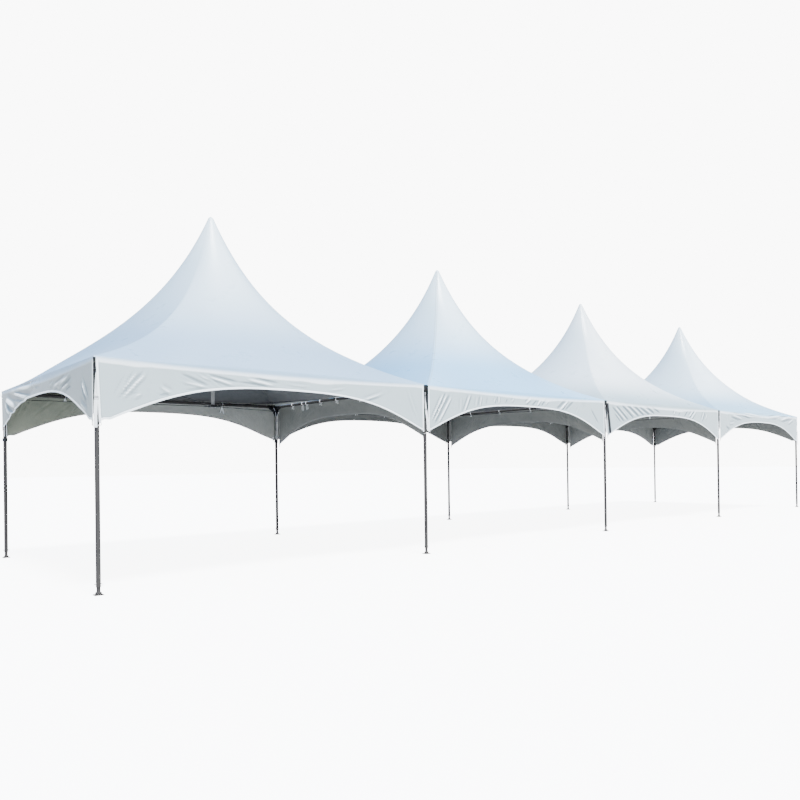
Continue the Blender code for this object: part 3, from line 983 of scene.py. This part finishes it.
def wireMaterial():
    make = Finish("darkSteel")
    eaveSheen = make.noise(60.0, 4.0, 0.6)
    colour = make.mix(make.step(eaveSheen, 0.45, 0.7), webbingLook["wire"], webbingLook["wornWire"])
    rough = make.step(eaveSheen, 0.3, 0.7, 0.35, 0.6)
    return make.shade(colour, rough, make.bump(eaveSheen, 0.0004, 0.3), Metallic=1.0)


webbing, darkWebbingAndShade, wire = webbingMaterial(), darkWebbingMaterial(), wireMaterial()

strapLook = {
    "width": 0.036,
    "thickness": 0.0018,
    # where each near leg's strap starts and ends: heights, and how far along the row from the leg
    "near": [
        (2.30, -0.010, 1.79, -0.024),
        (2.36, -0.016, 1.86, 0.022),
        (2.38, -0.018, 1.92, 0.006),
        (2.34, 0.012, 1.88, -0.014),
        (2.34, 0.004, 1.76, 0.022),
    ],
    "far": [(2.35, 1.86), (2.33, 1.88)],  # heights where the two cords of a far leg meet and end
    "cordRadius": 0.0045,
    "collarWire": 0.0065,
    "loose": [(0.050, 2.50), (0.062, 2.33), (0.078, 2.12), (0.096, 1.91)],  # a dark strap beside near leg 3, its black also painted shade of the gap at the valances' corner
    "looseWidth": 0.046,
    "buckleWire": 0.0028,
    "pathSteps": 6,
}


# Cords from the corners of the tops meet on the inner side of the first far legs.
def buildFarCords():
    y = halfBay - tent["tubeRadius"]
    for i, (meet, bottom) in enumerate(strapLook["far"]):
        x = legLines[i]
        cords, collar = Shape(), Shape()
        for turn in (-1, 1):
            lean = chance.uniform(-0.003, 0.003)
            spots = [
                (x + turn * 0.062, halfBay - 0.036, 2.50),
                (x + turn * 0.036, halfBay - 0.040, (2.50 + meet) / 2),
                (x + turn * 0.014, y - 0.009, meet),
                (x + turn * 0.013 + lean, y - 0.006, (meet + bottom) / 2),
                (x + turn * 0.015 + lean * 2, y - 0.009, bottom),
            ]
            cords.sweep(eased(spots, strapLook["pathSteps"]), circle(strapLook["cordRadius"], 8), (0, 1, 0))
        for k in range(4):
            place = (x, halfBay, bottom - 0.03 - 0.012 * k)
            collar.ring(place, up, tent["tubeRadius"] + 0.003, strapLook["collarWire"], 28)
        cords.make(f"leg_cords_far_{i + 1}", webbing, "white_fabric")
        collar.make(f"leg_collar_far_{i + 1}", wire, "galvanised_steel")


# the strap's near-black webbing is also painted shade of the gap beside near leg 3
def buildLooseStrap():
    face = outerReach + 0.007
    path = [(legLines[2] + across, -face - 0.05 * (2.5 - z), z) for across, z in strapLook["loose"]]
    loose = Shape()
    outline = band(strapLook["looseWidth"], strapLook["thickness"])
    loose.sweep(eased(path, strapLook["pathSteps"]), outline, (-0.6, -1, 0))
    loose.make("loose_strap_near_3", darkWebbingAndShade, "white_fabric")


# Webbing that ties each near corner of the tops down to its leg, with its buckle.
def buildNearStraps():
    width, thickness = strapLook["width"], strapLook["thickness"]
    y = -(halfBay + tent["tubeRadius"] + 0.004)
    for i, (x, (top, fromLeg, bottom, toLeg)) in enumerate(zip(legLines, strapLook["near"])):
        middle = bottom + (top - bottom) * 0.45
        spots = [
            (x + fromLeg, -halfBay - 0.030, top + 0.075),
            (x + fromLeg, -halfBay - 0.0345, top + 0.03),
            (x + fromLeg, -halfBay - 0.0335, top - 0.03),
            (x + fromLeg * 0.6 + toLeg * 0.2, y - 0.002, top - 0.12),
            (x + fromLeg * 0.4 + toLeg * 0.5, y - 0.004, middle + 0.05),
            (x + toLeg * 0.9, y - 0.005, middle - 0.06),
            (x + toLeg, y - 0.009, bottom + 0.10),
            (x + toLeg * 1.1, y - 0.016, bottom),
        ]
        path = eased(spots, strapLook["pathSteps"])
        twist = chance.uniform(-0.25, 0.25)
        # turned nearly edge-on at the roof's corner and flat against the leg lower down
        turns = [twist * math.sin(3 * k / len(path)) + 1.15 * max(0.0, 1 - k / 22) for k in range(len(path))]
        strap = Shape()
        strap.sweep(path, band(width, thickness), [(math.sin(turn), -math.cos(turn), 0.0) for turn in turns])
        # the doubled end that comes back through the buckle
        back = [(p[0] + 0.002, p[1] - 0.0035, p[2]) for p in path[22:34]]
        strap.sweep(back, band(width * 0.96, thickness), (0, -1, 0))
        strap.make(f"leg_strap_near_{i + 1}", webbing, "white_fabric")
        centre = Vector(path[22]) - Vector((0, 0.004, 0))
        across, tall = Vector((width / 2 + 0.004, 0, 0)), up * 0.016
        buckle = Shape()
        corners = [centre + across * a + tall * b for a, b in ((-1, -1), (1, -1), (1, 1), (-1, 1))]
        buckle.sweep(corners, circle(strapLook["buckleWire"], 8), (0, 1, 0), True)
        buckle.rod(centre - across, centre + across, 0.0025, 8)
        buckle.make(f"strap_buckle_near_{i + 1}", wire, "galvanised_steel")


ringLook = {
    "fromHem": 0.012,  # the tab's middle from the upright hem
    "behindLift": 0.02,  # how much higher the tabs behind the inner far legs are
    "ringRadius": 0.013,
    "wire": 0.0022,
    "tabWidth": 0.020,
    "tabThickness": 0.0012,
    "tieReach": 0.05,
}


# The lower corners of a bay's valances: the place, the way out and the way to the leg.
def lowerCorners(bay, x):
    look, inset = canopyLook, ringLook["fromHem"]
    outer = (bay == 1, bay == tent["bays"])
    ends = [x - (outerReach if outer[0] else innerReach), x + (outerReach if outer[1] else innerReach)]
    low = eave - look["outerArch"][1]
    corners = []
    for side in (-1, 1):
        for end, along, atEnd in zip(ends, (1, -1), outer):
            slit, lift = (look["outerSlit"] + look["outerSpread"] if atEnd else look["innerSlit"]), 0.0
            if side == 1 and not atEnd:
                slit, lift = 0.0, ringLook["behindLift"]
            place = (end + along * (slit + inset), side * (outerReach - 0.002), low + lift)
            corners.append((place, (0, side, 0), (-along, 0, 0)))
    for k, end in enumerate(ends):
        slit, _, arch = sidesOfBay(bay)[1 if k else 3]
        if not arch:
            continue
        away = -1
        if k or arch == look["crossArch"]:
            away = 1
        if arch != look["crossArch"]:
            slit += look["outerSpread"]
        for side in (-1, 1):
            lift = look["leftEndLift"] * arch[1] if bay == 1 and side == 1 and not k else 0.0
            place = (end - away * 0.002, side * (outerReach - slit - inset), eave - arch[1] + lift)
            corners.append((place, (away, 0, 0), (0, side, 0)))
    return corners


# A tab, a ring and a tie at each lower corner of a valance.
def buildHemRings():
    look = ringLook
    for i, x in enumerate(bayCentres):
        rings, tabs = Shape(), Shape()
        for corner in lowerCorners(i + 1, x):
            place, out, toLeg = (Vector(v) for v in corner)
            steps = [(0.045, 0.003), (0.0, 0.004), (-0.012, 0.0025), (-0.014, -0.0005), (0.02, -0.002)]
            loop = [place + up * rise + out * stand for rise, stand in steps]
            tabs.sweep(loop, band(look["tabWidth"], look["tabThickness"]), out)
            rings.ring(place - up * 0.026, out, look["ringRadius"], look["wire"])
            # the tie runs from the ring round the leg
            start, reach = place - up * 0.036, toLeg * look["tieReach"]
            tie = [start, start + reach * 0.5 - up * 0.006 - out * 0.004, start + reach - out * 0.010]
            tabs.sweep(eased(tie, 4), circle(look["wire"], 6), out)
        rings.make(f"hem_rings_{i + 1}", wire, "galvanised_steel")
        tabs.make(f"hem_tabs_{i + 1}", webbing, "white_fabric")


# Where the ties that show hang on a rail and how long their tails are; others are spread by chance.
railTieLook = {
    ("cross", 2): [
        (-1.55, 0.05), (-0.62, 0.07), (0.1, 0.06), (0.623, 0.05), (1.107, 0.09), (1.249, 0.1), (1.617, 0.07),
    ],
    ("far", 1): [(-1.45, 0.05), (-0.35, 0.06), (1.18, 0.14)],
}


def addTie(ties, middle, along, tail):
    lean = chance.uniform(-0.25, 0.25)
    radius = tent["tubeRadius"] + 0.0022
    across = along.cross(up)
    loop = []
    for a in np.linspace(0, 2 * math.pi, 22)[:-1]:
        wider = radius * (1.0 + 0.06 * math.cos(a))
        loop.append(middle + across * math.sin(a) * wider + up * math.cos(a) * radius)
    ties.sweep(loop, band(0.022, 0.0014), along, True)
    for turn in (-1, 1):
        reach = tail * chance.uniform(0.75, 1.15)
        foot = middle - up * radius + across * turn * 0.004
        bend = foot - up * 0.3 * reach + across * turn * 0.012 + along * lean * 0.02
        end = foot - up * reach + across * turn * 0.018 + along * (lean + turn * 0.3) * reach * 0.6
        ties.sweep(eased([foot, bend, end], 4), band(0.018, 0.0012), across)


# Short webbing ties that hold the tops to the rails.
def buildRailTies():
    rails = [("cross", i + 1, (x, 0), Vector((0, 1, 0))) for i, x in enumerate(legLines)]
    for sideName, side in sides.items():
        rails += [(sideName, i + 1, (x, side * halfBay), Vector((1, 0, 0))) for i, x in enumerate(bayCentres)]
    for kind, number, place, along in rails:
        spots = railTieLook.get((kind, number))
        if not spots:
            starts = [-1.5 + 0.98 * k for k in range(4)]
            spots = [(at + chance.uniform(-0.15, 0.15), chance.uniform(0.035, 0.08)) for at in starts]
        ties = Shape()
        for at, tail in spots:
            addTie(ties, Vector((*place, tent["railHeight"])) + along * at, along, tail)
        ties.make(f"rail_ties_{kind}_{number}", webbing, "white_fabric")


hardwareLook = {
    "boltReaches": (0.088, 0.142),  # from a fitting's middle
    "sleeveFace": 0.0303,
    "boltSize": 0.0075,
    "webReach": 0.155,
    "webInset": 0.026,
    "webThickness": 0.006,
    "webHollow": 0.82,
    "footPin": 0.118,  # height of the pin over a foot
    "plateBolt": 0.035,  # from the leg's middle
    "plateTop": 0.008,
    "cableTop": 2.43,
    "hubMiddle": 2.275,
    "hubSide": 0.0325,
    "discTop": 2.2915,
    # rods on a cable: their start, end, radius and sides
    "turnbuckle": [(0.006, 0.030, 0.0085, 10), (0.030, 0.135, 0.0070, 6), (0.135, 0.165, 0.0080, 10)],
    "hubEnd": (-0.050, -0.095, 0.0085, 10),
}
signs = [(-1, -1), (1, -1), (1, 1), (-1, 1)]


# Bolts through a fitting's sleeves and the webs between these.
def buildFitting(name, centre, arms):
    look = hardwareLook
    bolts, webs = Shape(), Shape()
    inward = arms[0]
    for arm in arms:
        level = arm.z == 0
        for reach in look["boltReaches"]:
            for out in (-up, up) if level else (inward,):
                bolts.bolt(centre + arm * reach + out * look["sleeveFace"], out, look["boltSize"])
        if level:
            webs.web(centre, arm, -up, look)
    bolts.make(f"fitting_bolts_{name}", wire, "galvanised_steel")
    webs.make(f"fitting_webs_{name}", wire, "galvanised_steel")


# The pin over a foot with its split ring, and the bolts of its plate.
def buildFootPin(name, x, y):
    look = hardwareLook
    foot, along = Vector((x, y, look["footPin"])), Vector((1, 0, 0))
    pin = Shape()
    pin.rod(foot - along * 0.034, foot + along * 0.034, 0.004)
    pin.rod(foot - along * 0.037, foot - along * 0.0335, 0.0075)
    pin.ring(foot + Vector((0.031, 0, -0.010)), (0.3, 1, 0), 0.013, 0.0011)
    for a, b in signs:
        pin.bolt((x + a * look["plateBolt"], y + b * look["plateBolt"], look["plateTop"]), up, 0.005)
    pin.make(f"foot_pin_{name}", wire, "galvanised_steel")


# Clamps round the sleeves, eyes and turnbuckles of a bay's crossed cables.
def buildCableEnds(bay, x):
    look = hardwareLook
    ends = Shape()
    for a in (-1, 1):
        for b in (-1, 1):
            leg = Vector((x + a * halfBay, b * halfBay, look["cableTop"]))
            inner = Vector((x + a * look["hubSide"], b * look["hubSide"], look["hubMiddle"]))
            run = (inner - leg).normalized()
            ends.ring(leg + up * 0.006 * (a + b), up, 0.0335, 0.0025, 28)
            for first, last, radius, count in look["turnbuckle"]:
                start = leg + run * 0.034
                ends.rod(start + run * first, start + run * last, radius, count)
            first, last, radius, count = look["hubEnd"]
            ends.rod(inner + run * first, inner + run * last, radius, count)
    ends.ring((x, 0, look["discTop"]), up, 0.0300, 0.0035, 28)
    ends.make(f"cable_ends_{bay}", wire, "galvanised_steel")


def buildHardware():
    for sideName, side in sides.items():
        for i, x in enumerate(legLines):
            arms = [Vector((0, -side, 0)), -up]
            arms += [Vector((-1, 0, 0))] if i else []
            arms += [Vector((1, 0, 0))] if i < tent["bays"] else []
            name = f"{sideName}_{i + 1}"
            buildFitting(name, Vector((x, side * halfBay, tent["railHeight"])), arms)
            buildFootPin(name, x, side * halfBay)
    for i, x in enumerate(bayCentres):
        buildCableEnds(i + 1, x)


for build in (buildFarCords, buildLooseStrap, buildNearStraps, buildHemRings, buildRailTies, buildHardware):
    build()
print("straps, rings, ties and bolts made")


# Floor, light and camera

stageLook = {
    "floorHalf": 120.0,
    "floorHeight": -0.001,
    "floorColour": (0.60, 0.60, 0.60),
    "floorBounce": (0.50, 0.50, 0.48),
    "floorMottle": (0.26, 0.26, 0.26),
    "floorGlow": 8.0,
}


# The floor lights the tents as a matt grey one, and the camera sees it as bright as the backdrop.
def buildFloor():
    look = stageLook
    make = Finish("floorPaint")
    bounce = make.mix(make.noise(0.6, 2.0) * 0.1, look["floorBounce"], look["floorMottle"])
    matt = {"Roughness": 0.9, "Specular IOR Level": 0.1}
    plain = make.node("BsdfPrincipled", {}, {"Base Color": bounce, **matt})
    glow = {"Emission Color": (1.0, 1.0, 1.0), "Emission Strength": look["floorGlow"]}
    pale = make.node("BsdfPrincipled", {}, {"Base Color": look["floorColour"], **matt, **glow})
    camera = make.node("LightPath", {}, {}, "Is Camera Ray")
    both = make.node("MixShader", {}, {0: camera, 1: plain, 2: pale})
    make.node("OutputMaterial", {}, {"Surface": both})
    corners = [(a * look["floorHalf"], b * look["floorHalf"], look["floorHeight"]) for a, b in signs]
    floor = meshObject("floor", corners, [(0, 1, 2, 3)], 38, make.owner)


lightLook = {
    "horizonNear": (5.8, 5.87, 5.95),  # towards the near side
    "horizonFar": (2.05, 2.12, 2.2),
    "brightSide": (0.1, -0.995, 0.0),
    "brightFrom": -0.3,  # cosines between which the horizon turns bright
    "brightTo": 0.9,
    "zenith": (0.75, 1.14, 1.77),
    "hazeTop": 0.40,  # sine of the height where the bright horizon has faded
    "backdrop": 12.0,  # how bright the backdrop behind the tents is
    "sun": 11.2,
    "sunAngle": 15.0,
    "sunFrom": (-0.05, -0.45, 0.89),
}


def buildLight():
    look = lightLook
    make = Finish("studio", bpy.data.worlds)
    direction = make.node("TexCoord", {}, {}, "Generated")
    towards = {0: direction, 1: look["brightSide"]}
    facing = make.node("VectorMath", {"operation": "DOT_PRODUCT"}, towards, "Value")
    bright = make.step(facing, look["brightFrom"], look["brightTo"])
    horizon = make.mix(bright, look["horizonFar"], look["horizonNear"])
    sky = make.mix(make.step(make.part(direction, "Z"), 0.0, look["hazeTop"]), horizon, look["zenith"])
    dome = make.node("Background", {}, {"Color": sky, "Strength": 1.0})
    backdrop = make.node("Background", {}, {"Strength": look["backdrop"]})
    camera = make.node("LightPath", {}, {}, "Is Camera Ray")
    both = make.node("MixShader", {}, {0: camera, 1: dome, 2: backdrop})
    make.node("OutputWorld", {}, {"Surface": both})
    bpy.context.scene.world = make.owner

    data = bpy.data.lights.new("key", "SUN")
    data.energy = look["sun"]
    data.angle = math.radians(look["sunAngle"])
    addObject("key", data).rotation_euler = Vector(look["sunFrom"]).to_track_quat("Z", "Y").to_euler()


def buildCamera():
    look = cameraLook
    data = bpy.data.cameras.new("view")
    data.lens = look["lens"]
    data.sensor_width = 36
    data.shift_x, data.shift_y = look["shift"]
    data.clip_end = 500
    camera = addObject("view", data)
    camera.matrix_world = Matrix.Translation(look["location"]) @ cameraTurn()
    bpy.context.scene.camera = camera


buildFloor()
buildLight()
buildCamera()
